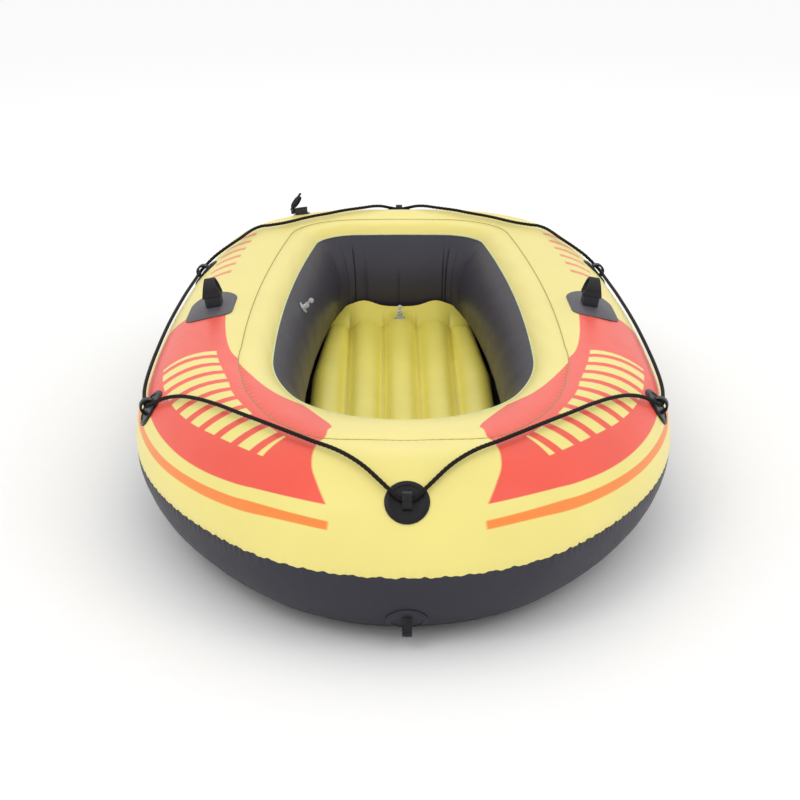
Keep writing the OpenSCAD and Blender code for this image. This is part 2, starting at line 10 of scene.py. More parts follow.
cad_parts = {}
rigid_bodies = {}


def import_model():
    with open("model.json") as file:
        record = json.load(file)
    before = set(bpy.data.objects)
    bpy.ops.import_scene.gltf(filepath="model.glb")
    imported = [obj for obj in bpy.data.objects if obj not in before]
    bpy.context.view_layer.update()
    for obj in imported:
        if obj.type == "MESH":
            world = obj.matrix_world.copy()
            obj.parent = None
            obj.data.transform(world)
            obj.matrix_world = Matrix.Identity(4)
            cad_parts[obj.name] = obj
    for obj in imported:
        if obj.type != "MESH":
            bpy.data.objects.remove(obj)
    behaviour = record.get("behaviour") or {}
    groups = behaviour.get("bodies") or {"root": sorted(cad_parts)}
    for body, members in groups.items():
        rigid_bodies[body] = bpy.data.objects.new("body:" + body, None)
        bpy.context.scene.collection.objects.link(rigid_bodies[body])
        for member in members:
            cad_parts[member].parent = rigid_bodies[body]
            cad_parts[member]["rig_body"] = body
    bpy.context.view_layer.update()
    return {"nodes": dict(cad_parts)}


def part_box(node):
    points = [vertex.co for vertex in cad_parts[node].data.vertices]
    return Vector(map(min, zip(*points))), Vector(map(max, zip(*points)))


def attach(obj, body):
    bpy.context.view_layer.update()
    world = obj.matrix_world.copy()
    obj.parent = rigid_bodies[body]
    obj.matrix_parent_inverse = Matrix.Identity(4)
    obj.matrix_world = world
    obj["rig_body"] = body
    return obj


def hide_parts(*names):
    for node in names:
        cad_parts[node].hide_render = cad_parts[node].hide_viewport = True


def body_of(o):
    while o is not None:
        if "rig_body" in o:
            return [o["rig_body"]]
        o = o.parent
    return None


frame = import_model()

bl_info = {
    "name": "Inflatable Boat Looks",
    "version": (1, 0, 0),
    "blender": (4, 5, 0),
    "location": "View3D > Sidebar > Boat",
    "description": "Models and shades the skins, mat, rope and fittings of a small inflatable boat",
    "category": "Object",
}

HULL_LOW, HULL_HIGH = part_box("outer_top_sheet")
BASE_LOW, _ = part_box("outer_base_sheet")
HULL_W = HULL_HIGH.x - HULL_LOW.x
HULL_L = HULL_HIGH.y - HULL_LOW.y
TUBE_D = HULL_HIGH.z - BASE_LOW.z


# ---- sizes and colours that a user would change ----
def length_prop(name, text, value):
    return bpy.props.FloatProperty(name=name, description=text, default=value, unit="LENGTH")


class BoatSizes(bpy.types.PropertyGroup):
    film: length_prop("Film", "Thickness of the shown film", 0.0014)
    tooth_pitch: length_prop("Pucker pitch", "Length of one pucker on the side weld", 0.0095)
    tooth_height: length_prop("Pucker height", "Height of one pucker on the side weld", 0.0048)
    rope_d: length_prop("Rope", "Diameter of the grab rope", 0.0072)
    rope_lay: length_prop("Rope lay", "Length of one full turn of the strands", 0.028)
    edge_round: length_prop("Edge round", "Rounding on moulded edges", 0.0006)


def colour_prop(name, text, value):
    return bpy.props.FloatVectorProperty(name=name, description=text, default=value, subtype="COLOR",
                                         size=3, min=0, max=1)


class BoatColours(bpy.types.PropertyGroup):
    yellow: colour_prop("Yellow", "Film of the top and the deck", (0.87, 0.755, 0.235))
    coral: colour_prop("Coral", "Printed panels", (0.87, 0.098, 0.062))
    orange: colour_prop("Orange", "Printed stripe", (0.92, 0.26, 0.045))
    navy: colour_prop("Navy", "Film of the base", (0.036, 0.034, 0.046))
    wall: colour_prop("Wall", "Film of the cockpit wall", (0.050, 0.047, 0.064))
    mat: colour_prop("Mat", "Film of the floor mat", (0.86, 0.745, 0.13))
    black: colour_prop("Black", "Moulded fittings", (0.008, 0.008, 0.010))
    grey: colour_prop("Grey", "Oarlock patches", (0.085, 0.080, 0.092))
    pale_weld: colour_prop("Pale weld", "Weld bead on the rim", (0.62, 0.68, 0.42))


def sizes():
    return bpy.context.scene.boat_sizes


def colours():
    return bpy.context.scene.boat_colours


# ---- plan outline: tangent arcs, each with a turn from straight aft ----
MM = 0.001
TUBE_R = TUBE_D / 2
STERN_TURN, CORNER_TURN, SIDE_TURN, SHOULDER_TURN, INNER_SHOULDER_TURN = 2.5, 82, 91, 133, 112
CORNER_R = 200 * MM
SHOULDER_R = 705 * MM
FORE_DECK = 100 * MM
SEAM_DROP = 4.5
CREASE_IN = 47.5 * MM
RIM_IN = 102 * MM
RIM_Z = 264 * MM
SHEET_TOP = 25 * MM
GAP = 0.3 * MM  # clearance that stands in for a weld
WALL_BULGE = 60 * MM
DECK_BULGE = 10 * MM
FOOT_TURN = 125


def sin_d(a):
    return sin(radians(a))


def cos_d(a):
    return cos(radians(a))


def outer_radii():
    """Radii of the five arcs of the outer chamber's centre line, bent to meet the boat's width and length."""
    half_w = HULL_W / 2 - TUBE_R
    line_l = HULL_L - TUBE_D
    stern_a = (half_w - CORNER_R * (sin_d(CORNER_TURN) - sin_d(STERN_TURN))) / sin_d(STERN_TURN)
    stern_b = (1 - sin_d(CORNER_TURN)) / sin_d(STERN_TURN)
    bow_a = (half_w - SHOULDER_R * (sin_d(SIDE_TURN) - sin_d(SHOULDER_TURN))) / sin_d(SHOULDER_TURN)
    bow_b = (1 - sin_d(SIDE_TURN)) / sin_d(SHOULDER_TURN)
    fixed = (stern_a * (1 - cos_d(STERN_TURN)) + CORNER_R * (cos_d(STERN_TURN) - cos_d(CORNER_TURN))
             + SHOULDER_R * (cos_d(SIDE_TURN) - cos_d(SHOULDER_TURN)) + bow_a * (1 + cos_d(SHOULDER_TURN)))
    gain = (cos_d(CORNER_TURN) - cos_d(SIDE_TURN) - stern_b * (1 - cos_d(STERN_TURN))
            - bow_b * (1 + cos_d(SHOULDER_TURN)))
    side = (line_l - fixed) / gain
    return [stern_a - stern_b * side, CORNER_R, side, SHOULDER_R, bow_a - bow_b * side]


def inner_radii(outer):
    """The inner chamber shares the stern, corners and sides; its bow is blunter."""
    wide = outer[4] * sin_d(SHOULDER_TURN) + SHOULDER_R * (sin_d(SIDE_TURN) - sin_d(SHOULDER_TURN))
    deep = (SHOULDER_R * (cos_d(SIDE_TURN) - cos_d(SHOULDER_TURN))
            + outer[4] * (1 + cos_d(SHOULDER_TURN)) - FORE_DECK)
    sh_x = sin_d(SIDE_TURN) - sin_d(INNER_SHOULDER_TURN)
    sh_y = cos_d(SIDE_TURN) - cos_d(INNER_SHOULDER_TURN)
    bow_x = sin_d(INNER_SHOULDER_TURN)
    bow_y = 1 + cos_d(INNER_SHOULDER_TURN)
    both = bow_x * sh_y - sh_x * bow_y
    return outer[:3] + [(bow_x * deep - bow_y * wide) / both, (wide * sh_y - sh_x * deep) / both]


class Outline:
    """A closed plan outline. Places on it are given by the turn (0 stern, 90 starboard, 180 bow, 270 port)
    or by the length along it from the bow."""

    def __init__(self, radii, turns):
        self.radii, self.turns = radii, turns
        centre = np.array([0, HULL_L / 2 - TUBE_R - radii[0]])
        self.centres = [centre]
        for k in range(1, 5):
            step = radii[k - 1] - radii[k]
            centre = centre + step * np.array([sin_d(turns[k]), cos_d(turns[k])])
            self.centres.append(centre)
        self.marks = [0.0]
        for k in range(5):
            self.marks.append(self.marks[-1] + radii[k] * radians(turns[k + 1] - turns[k]))
        self.half = self.marks[-1]

    def point(self, turn, n):
        """Plan point n outboard of the centre line."""
        fold = turn if turn <= 180 else 360 - turn
        k = max(i for i in range(5) if fold >= self.turns[i])
        c, r = self.centres[k], self.radii[k] + n
        x = c[0] + r * sin_d(fold)
        return (x if turn <= 180 else -x), c[1] + r * cos_d(fold)

    def turn_at(self, along):
        """Turn at a length measured from the stern, starboard first, round the whole outline."""
        along %= 2 * self.half
        fold = min(along, 2 * self.half - along)
        k = max(i for i in range(5) if fold >= self.marks[i])
        turn = self.turns[k] + degrees((fold - self.marks[k]) / self.radii[k])
        return turn if along <= self.half else 360 - turn

    def from_bow(self, turn):
        """Length from the bow to a turn, the shorter way."""
        fold = turn if turn <= 180 else 360 - turn
        k = max(i for i in range(5) if fold >= self.turns[i])
        return self.half - self.marks[k] - self.radii[k] * radians(fold - self.turns[k])


OUTER = Outline(outer_radii(), [0, STERN_TURN, CORNER_TURN, SIDE_TURN, SHOULDER_TURN, 180])
INNER = Outline(inner_radii(OUTER.radii), [0, STERN_TURN, CORNER_TURN, SIDE_TURN, INNER_SHOULDER_TURN, 180])
CREASE_PHI = 180 - degrees(acos(CREASE_IN / TUBE_R))
CREASE_SWING = [(0, 0), (85, 0), (91, 0.8), (99, 3.4), (106.6, 6.6), (116.4, 15.4), (125, 22.3), (133, 23.8),
                (142, 21.8), (150, 16.8), (160, 8.8), (170, 1.8), (180, 0)]
RIM_PT = np.array([-RIM_IN, RIM_Z])
WALL_TOP = RIM_PT - 0.4 * MM * np.array([0.5, 0.87])
FOOT_PT = np.array([-88 * MM, SHEET_TOP + GAP])
DECK_SPAN = 35  # share of the printed map's girth that the deck takes, after the crease


def hull_point(turn, phi, off):
    """Point off the outer chamber's skin: phi is 0 outboard and 90 on top."""
    x, y = OUTER.point(turn, (TUBE_R + off) * cos_d(phi))
    return Vector((x, y, TUBE_R + (TUBE_R + off) * sin_d(phi)))


def crease_phi(turn):
    """Where the deck meets the outer chamber: it swings outboard over the tube at the bow's shoulders."""
    fold = min(turn, 360 - turn)
    return CREASE_PHI - float(np.interp(fold, *zip(*CREASE_SWING)))


def deck_section(turn, shares):
    """Places and outward directions across the deck at a turn, as (inboard distance, height)."""
    phi = crease_phi(turn)
    crease = np.array([TUBE_R * cos_d(phi) - 0.8 * MM, TUBE_R + TUBE_R * sin_d(phi) - 0.4 * MM])
    return arc_points(crease, RIM_PT, DECK_BULGE + 0.17 * MM * (CREASE_PHI - phi), shares)


def arc_points(a, b, bulge, shares):
    """Points on the arc from a to b, with each one's outward direction."""
    chord = np.linalg.norm(b - a)
    r = (chord ** 2 / 4 + bulge ** 2) / (2 * bulge)
    along = (b - a) / chord
    side = np.array([-along[1], along[0]])
    middle = (a + b) / 2 + side * (r - bulge)
    half = asin(chord / 2 / r)
    found = []
    for share in shares:
        t = half * (2 * share - 1)
        out = along * sin(t) - side * cos(t)
        found.append((middle + r * out, out))
    return found


# ---- small mesh helpers ----
def new_piece(name, verts, faces):
    mesh = bpy.data.meshes.new(name)
    mesh.from_pydata([tuple(v) for v in verts], [], faces)
    mesh.validate()
    mesh.update()
    piece = bpy.data.objects.new(name, mesh)
    bpy.context.scene.collection.objects.link(piece)
    return piece


def loft(name, rings, closed_along=True, closed_across=False):
    """Skin through rings of points; every ring has the same count."""
    rows, cols = len(rings), len(rings[0])
    verts = [p for ring in rings for p in ring]
    faces = []
    for i in range(rows if closed_along else rows - 1):
        for j in range(cols if closed_across else cols - 1):
            i2, j2 = (i + 1) % rows, (j + 1) % cols
            faces.append((i * cols + j, i2 * cols + j, i2 * cols + j2, i * cols + j2))
    return new_piece(name, verts, faces)


def set_uv(piece, name, values):
    """One UV pair for each vertex."""
    layer = piece.data.uv_layers.new(name=name)
    loops = np.zeros(len(piece.data.loops), np.int32)
    piece.data.loops.foreach_get("vertex_index", loops)
    layer.data.foreach_set("uv", np.asarray(values, np.float32)[loops].ravel())


def only(piece):
    bpy.ops.object.select_all(action="DESELECT")
    piece.select_set(True)
    bpy.context.view_layer.objects.active = piece


def apply_modifier(piece, kind, **settings):
    only(piece)
    made = piece.modifiers.new(kind.title(), kind)
    for key, value in settings.items():
        setattr(made, key, value)
    bpy.ops.object.modifier_apply(modifier=made.name)


def smooth(piece, angle=40):
    only(piece)
    bpy.ops.object.shade_smooth_by_angle(angle=radians(angle))


def face_out(piece, outward):
    """Turns the skin round if its first faces look the wrong way."""
    face = piece.data.polygons[0]
    if face.normal.dot(outward(face.center)) < 0:
        piece.data.flip_normals()


def solid_film(piece, thick):
    apply_modifier(piece, "SOLIDIFY", thickness=thick, offset=-1)


def give(piece, material, body="hull", stands_for=()):
    piece.data.materials.clear()
    piece.data.materials.append(material)
    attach(piece, body)
    if stands_for:
        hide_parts(*stands_for)
    return piece


def wave_noise(x, seed):
    """Smooth repeatable unevenness from a few sines, about -1 to 1."""
    total = 0.0
    for k in range(1, 5):
        total += sin(x * (1.3 * k + 0.37 * seed) + 2.1 * k * seed + k * k) / k
    return total / 2.1


# ---- shader maths written as expressions ----
class Value:
    """A node socket that takes part in Python arithmetic."""

    def __init__(self, maker, socket):
        self.maker, self.socket = maker, socket

    def _math(self, operation, *others):
        return self.maker.node("ShaderNodeMath", {"operation": operation}, [self, *others])

    def __add__(self, other):
        return self._math("ADD", other)

    def __radd__(self, other):
        return self._math("ADD", other)

    def __sub__(self, other):
        return self._math("SUBTRACT", other)

    def __rsub__(self, other):
        return self.maker.node("ShaderNodeMath", {"operation": "SUBTRACT"}, [other, self])

    def __mul__(self, other):
        return self._math("MULTIPLY", other)

    def __rmul__(self, other):
        return self._math("MULTIPLY", other)

    def __truediv__(self, other):
        return self._math("DIVIDE", other)

    def fraction(self):
        return self._math("FRACT")

    def size(self):
        return self._math("ABSOLUTE")

    def larger(self, other):
        return self._math("MAXIMUM", other)

    def ripple(self):
        return self._math("SINE")

    def above(self, edge, soft):
        """0 below the edge and 1 above it, over a soft width."""
        ramp = (self - edge) / soft + 0.5
        ramp.socket.node.use_clamp = True
        return ramp


class Shade:
    """Builds one material's nodes."""

    def __init__(self, name):
        self.material = bpy.data.materials.new(name)
        self.material.use_nodes = True
        self.tree = self.material.node_tree
        self.shader = self.tree.nodes["Principled BSDF"]

    def node(self, kind, settings, values=(), out=0):
        made = self.tree.nodes.new(kind)
        for key, value in settings.items():
            setattr(made, key, value)
        pairs = values.items() if isinstance(values, dict) else enumerate(values)
        for key, value in pairs:
            if isinstance(value, Value):
                self.tree.links.new(value.socket, made.inputs[key])
            else:
                made.inputs[key].default_value = value
        return Value(self, made.outputs[out])

    def mix(self, factor, first, second):
        """Colour mix; first and second are colours or values."""
        rgba = [c if isinstance(c, Value) else (*c, 1) for c in (first, second)]
        return self.node("ShaderNodeMix", {"data_type": "RGBA"}, {0: factor, 6: rgba[0], 7: rgba[1]}, 2)

    def noise(self, scale, detail=2.0, rough=0.5, place=None):
        spot = place or self.node("ShaderNodeTexCoord", {}, (), 3)
        return self.node("ShaderNodeTexNoise", {}, {"Vector": spot, "Scale": scale, "Detail": detail,
                                                    "Roughness": rough})

    def curve(self, value, points):
        """Smooth curve through points whose x and y lie between 0 and 1."""
        made = self.tree.nodes.new("ShaderNodeFloatCurve")
        line = made.mapping.curves[0]
        for k, (x, y) in enumerate(sorted(points)):
            if k < 2:
                line.points[k].location = (x, y)
            else:
                line.points.new(x, y)
        made.mapping.use_clip = False
        made.mapping.update()
        self.tree.links.new(value.socket, made.inputs["Value"])
        return Value(self, made.outputs[0])

    def bump(self, height, distance, strength=1.0, onto=None):
        values = {"Height": height, "Distance": distance, "Strength": strength}
        if onto is not None:
            values["Normal"] = onto
        return self.node("ShaderNodeBump", {}, values)

    def finish(self, colour, rough, normal=None, **constants):
        for key, value in (("Base Color", colour), ("Roughness", rough), ("Normal", normal)):
            if isinstance(value, Value):
                self.tree.links.new(value.socket, self.shader.inputs[key])
            elif value is not None:
                self.shader.inputs[key].default_value = (*value, 1) if key == "Base Color" else value
        for key, value in constants.items():
            self.shader.inputs[key.replace("_", " ")].default_value = value
        return self.material


ALONG_SCALE = 2.6
GIRTH_SCALE = 150.0
SEAM_PUCKER = 0.0125
CREASE_PUCKER = 0.019


def print_edge(points):
    """Edge of a printed area: (turn, girth) pairs as (length from the bow, girth) between 0 and 1."""
    return [(OUTER.from_bow(turn) / ALONG_SCALE, girth / GIRTH_SCALE) for turn, girth in points]


# Edges of the printed areas. Above a length they are (turn, girth); the panel's bow end is (girth, turn).
STRIPE_TOP = [(201, 27), (217, 28), (230, 25), (240, 21.7), (250, 20.5), (262, 21), (272, 22)]
STRIPE_LOW = [(201, 21.8), (213, 22.4), (228, 19.2), (240, 15.6), (250, 14.6), (262, 15), (272, 16)]
PANEL_LOW = [(202, 36.8), (215, 36.9), (230, 33), (238, 30), (246, 29.5), (254, 30.5), (262, 33), (272, 40)]
PANEL_HIGH = [(226, 139), (230, 138), (234, 135.5), (238, 131.5), (243.4, 126), (251.3, 118.7), (257, 113),
              (261.8, 107.5),
              (266, 101), (271, 91)]
PANEL_BOW = [(36, 202), (48, 206.5), (61, 211.7), (81, 216.5), (95, 217.3), (CREASE_PHI, 217.4), (112, 218.3),
             (119, 222.5), (125, 226), (130, 229), (134, 232.5), (137, 237), (139, 243)]
BARS_LOW = [(228, 56), (237, 54), (245, 50.5), (253, 49), (266, 50)]
BARS_HIGH = [(228, 76), (235, 80), (240, 83), (247, 87), (252, 91), (265, 91)]


def skin_places(shade):
    """Length from the bow and girth, both 0 to 1, read from the skin's own map."""
    spot = shade.node("ShaderNodeUVMap", {"uv_map": "skin"})
    parts = shade.node("ShaderNodeSeparateXYZ", {}, [spot])
    along = Value(shade, parts.socket.node.outputs[0])
    girth = Value(shade, parts.socket.node.outputs[1])
    return along, girth


def film_normal(shade, along=None, girth=None, pucker_at=(), fine=0.00012):
    """Film that is pulled tight: faint orange peel, broad waves and puckers that run into a weld."""
    peel = shade.noise(950, 2)
    waves = shade.noise(14, 3)
    height = shade.bump(waves, 0.0022, 0.35)
    height = shade.bump(peel, fine, 0.35, height)
    if along is not None:
        for edge, pitch, reach, depth in pucker_at:
            count = ALONG_SCALE / pitch
            drift = shade.noise(9, 2) * 5.0
            ridges = ((along * (count * 2 * pi)) + drift).ripple()
            near = 1 - (girth - edge / GIRTH_SCALE).size() * (GIRTH_SCALE / reach)
            near = near.larger(0.0)
            height = shade.bump(ridges * near * near, depth, 0.8, height)
    return height


def printed_film():
    """Yellow film with coral panels, an orange stripe and plain bars."""
    c = colours()
    shade = Shade("printed_film")
    along, girth = skin_places(shade)
    edge = 0.0012
    across_edge = 0.0045
    stripe = (girth.above(shade.curve(along, print_edge(STRIPE_LOW)), across_edge)
              * (1 - girth.above(shade.curve(along, print_edge(STRIPE_TOP)), across_edge))
              * along.above(OUTER.from_bow(200.7) / ALONG_SCALE, edge)
              * (1 - along.above(OUTER.from_bow(272) / ALONG_SCALE, edge)))
    bow_edge = [(g / GIRTH_SCALE, OUTER.from_bow(t) / ALONG_SCALE) for g, t in PANEL_BOW]
    panel = (girth.above(shade.curve(along, print_edge(PANEL_LOW)), across_edge)
             * (1 - girth.above(shade.curve(along, print_edge(PANEL_HIGH)), across_edge))
             * along.above(shade.curve(girth, bow_edge), edge)
             * (1 - along.above(OUTER.from_bow(271.4) / ALONG_SCALE, edge)))
    row = (girth.above(shade.curve(along, print_edge(BARS_LOW)), across_edge)
           * (1 - girth.above(shade.curve(along, print_edge(BARS_HIGH)), across_edge))
           * along.above(OUTER.from_bow(228.5) / ALONG_SCALE, edge)
           * (1 - along.above(OUTER.from_bow(265.5) / ALONG_SCALE, edge)))
    bar_pitch = 0.046 / ALONG_SCALE
    phase = (along / bar_pitch + girth * 1.1).fraction()
    bars = row * (1 - (phase - 0.5).size().above(0.31, 0.05))
    dash_pitch = 0.062 / ALONG_SCALE
    dash_phase = (along / dash_pitch - girth * 1.4).fraction()
    dash_row = (girth.above(58 / GIRTH_SCALE, across_edge) * (1 - girth.above(80 / GIRTH_SCALE, across_edge))
                * along.above(OUTER.from_bow(273.8) / ALONG_SCALE, edge)
                * (1 - along.above(OUTER.from_bow(277.9) / ALONG_SCALE, edge)))
    dashes = dash_row * (1 - (dash_phase - 0.5).size().above(0.17, 0.05))
    mottle = shade.noise(5, 3)
    yellow = shade.mix(mottle, [v * 0.93 for v in c.yellow], [min(1, v * 1.05) for v in c.yellow])
    coral = shade.mix(mottle, [v * 0.9 for v in c.coral], [min(1, v * 1.1) for v in c.coral])
    colour = shade.mix(panel * (1 - bars), yellow, coral)
    colour = shade.mix(stripe, colour, tuple(c.orange))
    colour = shade.mix(dashes * 0.75, colour, coral)
    puckers = [(-SEAM_DROP, SEAM_PUCKER, 9, 0.0012), (CREASE_PHI, CREASE_PUCKER, 7, 0.0004)]
    normal = film_normal(shade, along, girth, puckers)
    rough = shade.noise(60, 2) * 0.10 + 0.33
    return shade.finish(colour, rough, normal, Specular_IOR_Level=0.4)


def plain_film(name, colour, rough_low, puckers=(), mottle=0.12):
    """One colour of welded film."""
    shade = Shade(name)
    along, girth = skin_places(shade)
    tone = shade.noise(6, 3)
    dark = [v * (1 - mottle) for v in colour]
    light = [min(1, v * (1 + mottle)) for v in colour]
    normal = film_normal(shade, along, girth, puckers)
    rough = shade.noise(70, 2) * 0.12 + rough_low
    return shade.finish(shade.mix(tone, dark, light), rough, normal, Specular_IOR_Level=0.22)


def sheet_film(name, colour, rough_low):
    """Film without a map of its own, for the carried-over flat sheets."""
    shade = Shade(name)
    tone = shade.noise(6, 3)
    normal = film_normal(shade)
    rough = shade.noise(70, 2) * 0.12 + rough_low
    dark = [v * 0.88 for v in colour]
    light = [v * 1.12 for v in colour]
    return shade.finish(shade.mix(tone, dark, light), rough, normal)


def moulding(name, colour, rough_low, grain=0.00015, shine=0.25):
    """Moulded plastic with fine grain and slightly polished spots."""
    shade = Shade(name)
    grain_bump = shade.bump(shade.noise(1400, 3), grain, 0.4)
    patchy = shade.noise(90, 2)
    rough = patchy * 0.16 + rough_low
    tone = shade.mix(patchy, [v * 0.85 for v in colour], [v * 1.25 for v in colour])
    return shade.finish(tone, rough, grain_bump, Specular_IOR_Level=shine)


def clear_plastic():
    shade = Shade("clear_plastic")
    cloudy = shade.noise(200, 2)
    tone = shade.mix(cloudy, (0.62, 0.66, 0.68), (0.80, 0.83, 0.84))
    return shade.finish(tone, 0.22, shade.bump(cloudy, 0.0002, 0.3), Transmission_Weight=0.45, IOR=1.5)


def pin_steel():
    shade = Shade("pin_steel")
    marks = shade.noise(700, 2)
    return shade.finish(shade.mix(marks, (0.35, 0.35, 0.36), (0.55, 0.55, 0.56)), marks * 0.2 + 0.3,
                        None, Metallic=1.0)


def rope_yarn():
    """Black twisted yarn: fibres run with the strands."""
    shade = Shade("rope_yarn")
    spot = shade.node("ShaderNodeUVMap", {"uv_map": "skin"})
    stretched = shade.node("ShaderNodeMapping", {}, {"Vector": spot, "Scale": (900, 40, 1)})
    fibre = shade.noise(1.0, 3, 0.6, stretched)
    tone = shade.mix(fibre, (0.003, 0.0025, 0.002), (0.020, 0.017, 0.014))
    return shade.finish(tone, 0.6, shade.bump(fibre, 0.0004, 0.7), Specular_IOR_Level=0.12)


# ---- film skins ----
def tooth(along_hull):
    """Uneven saw-tooth of the side weld, 0 to 1."""
    pitch = sizes().tooth_pitch
    fine = abs(((along_hull / pitch + 0.4 * wave_noise(along_hull * 24, 2)) % 1) * 2 - 1)
    broad = abs(((along_hull / (2.3 * pitch) + 0.3 * wave_noise(along_hull * 15, 4)) % 1) * 2 - 1)
    return 0.4 * fine + 0.6 * broad ** 1.8 + 0.12 * wave_noise(along_hull * 60, 5)


def tube_rings(phis, count):
    """Rings of the outer chamber's skin. The weld's edge rises and falls with the puckers."""
    total = 2 * OUTER.half
    rise_deg = degrees(sizes().tooth_height / TUBE_R)
    rings, map_points = [], []
    for k in range(count):
        place = total * k / count
        turn = OUTER.turn_at(place)
        along = OUTER.from_bow(turn)
        lift = rise_deg * (tooth(place) - 0.5)
        ring = []
        top = crease_phi(turn)
        for phi in phis:
            if phi > 0:
                phi *= top / CREASE_PHI
            near = max(0.0, 1 - abs(phi + SEAM_DROP) / 7)
            swell = 0.5 * MM * wave_noise(place * 11 + phi * 0.05, 3) * (1 - near)
            pinch = -0.9 * MM * near ** 2 + 0.15 * MM * near * sin(2 * pi * place / sizes().tooth_pitch)
            crease_near = max(0.0, 1 - abs(phi - top) / 8)
            pinch += 0.15 * MM * crease_near * sin(2 * pi * place / (1.6 * sizes().tooth_pitch))
            shown_phi = phi + lift * near ** 2
            ring.append(hull_point(turn, shown_phi, swell * (1 - crease_near) + pinch))
            map_points.append((along / ALONG_SCALE, phi / GIRTH_SCALE))
        rings.append(ring)
    return rings, map_points


def away_from_tube(point):
    x, y = point.x, point.y
    return Vector((x, y, (point.z - TUBE_R) * 3))


class BOAT_OT_outer_skins(bpy.types.Operator):
    """Makes the outer chamber's yellow top and navy base, which meet at a puckered side weld"""
    bl_idname = "boat.outer_skins"
    bl_label = "Outer Skins"

    def execute(self, context):
        count = 1500
        near_seam = [-SEAM_DROP + d for d in (0, 0.5, 1.2, 2.2, 3.6, 5.5, 8)]
        rest = list(np.linspace(11, CREASE_PHI - 6, 15)) + [CREASE_PHI - d for d in (4, 2.4, 1, 0)]
        rings, places = tube_rings(near_seam + rest, count)
        top = loft("outer_top_skin", rings)
        set_uv(top, "skin", places)
        face_out(top, away_from_tube)
        solid_film(top, sizes().film)
        smooth(top, 60)
        give(top, printed_film(), stands_for=("outer_top_sheet",))
        below = [-SEAM_DROP - d for d in (0, 0.5, 1.2, 2.2, 3.6, 5.5, 8)]
        rings, places = tube_rings(below + list(np.linspace(-18, -FOOT_TURN, 15)), count)
        base = loft("outer_base_skin", rings)
        set_uv(base, "skin", places)
        face_out(base, away_from_tube)
        solid_film(base, sizes().film)
        smooth(base, 60)
        film = plain_film("navy_film", tuple(colours().navy), 0.42, [(-SEAM_DROP, SEAM_PUCKER, 10, 0.0007)])
        give(base, film, stands_for=("outer_base_sheet",))
        return {"FINISHED"}


class BOAT_OT_deck_skin(bpy.types.Operator):
    """Makes the inner chamber's top skin, from the crease to the cockpit rim"""
    bl_idname = "boat.deck_skin"
    bl_label = "Deck Skin"

    def execute(self, context):
        count = 1200
        shares = [0, 0.03, 0.08, 0.16] + list(np.linspace(0.26, 0.86, 8)) + [0.93, 0.97, 1]
        rings, places = [], []
        for k in range(count):
            place = 2 * OUTER.half * k / count
            turn = OUTER.turn_at(place)
            along = OUTER.from_bow(turn)
            ring = []
            for share, (spot, out) in zip(shares, deck_section(turn, shares)):
                ripple = sin(2 * pi * place / 0.021 + 2 * wave_noise(place * 14, 4))
                edge = max(0.0, 1 - min(share, 1 - share) / 0.2)
                off = 0.12 * MM * ripple * edge * (share > 0) * (share < 1)
                off += 0.5 * MM * wave_noise(place * 9 + share * 3, 6) * (1 - edge)
                n, z = spot + out * off
                blend = min(1, max(0, (-CREASE_IN - n) / (RIM_IN - CREASE_IN)))
                ax, ay = OUTER.point(turn, n)
                bx, by = INNER.point(turn, n)
                ring.append(Vector((ax * (1 - blend) + bx * blend, ay * (1 - blend) + by * blend, z)))
                places.append((along / ALONG_SCALE, (CREASE_PHI + DECK_SPAN * share) / GIRTH_SCALE))
            rings.append(ring)
        deck = loft("deck_skin", rings)
        set_uv(deck, "skin", places)
        face_out(deck, lambda p: Vector((0, 0, 1)))
        solid_film(deck, sizes().film)
        smooth(deck, 60)
        give(deck, bpy.data.materials["printed_film"],
             stands_for=("inner_top_sheet",))
        return {"FINISHED"}


# Upright creases in the stern wall: place from the stern's middle, width and depth.
WALL_CREASES = [(-0.136, 0.0035, 0.0040), (-0.089, 0.0045, 0.0034), (-0.003, 0.0022, 0.0022),
                (0.120, 0.0040, 0.0032), (0.150, 0.0045, 0.0040), (-0.210, 0.002, 0.002),
                (0.215, 0.002, 0.002)]


class BOAT_OT_cockpit_wall(bpy.types.Operator):
    """Makes the cockpit wall: a bulging navy skin with upright creases at the stern"""
    bl_idname = "boat.cockpit_wall"
    bl_label = "Cockpit Wall"

    def execute(self, context):
        count = 1300
        shares = [0, 0.01, 0.03] + list(np.linspace(0.06, 0.94, 22)) + [0.97, 1]
        section = arc_points(WALL_TOP, FOOT_PT, WALL_BULGE, shares)
        rings, places = [], []
        for k in range(count):
            place = 2 * INNER.half * k / count
            turn = INNER.turn_at(place)
            from_stern = place if place <= INNER.half else place - 2 * INNER.half
            ring = []
            for share, (spot, out) in zip(shares, section):
                body = min(1.0, 6 * share, 6 * (1 - share))
                off = 0.8 * MM * wave_noise(place * 10 + share * 2, 7) * body
                for middle, width, depth in WALL_CREASES:
                    lean = middle * (1 - 0.10 * share)
                    near = (from_stern - lean) / width
                    if abs(near) < 3:
                        off -= depth * body * np.exp(-near * near) * (0.55 + 0.45 * sin(pi * share))
                n, z = spot + out * off
                x, y = INNER.point(turn, n)
                ring.append(Vector((x, y, z)))
                places.append((place / ALONG_SCALE / 2, share))
            rings.append(ring)
        wall = loft("cockpit_wall_skin", rings)
        set_uv(wall, "skin", places)
        face_out(wall, lambda p: Vector((-p.x, -p.y, 0)))
        solid_film(wall, sizes().film)
        smooth(wall, 60)
        give(wall, plain_film("wall_film", tuple(colours().wall), 0.38),
             stands_for=("cockpit_wall",))
        return {"FINISHED"}


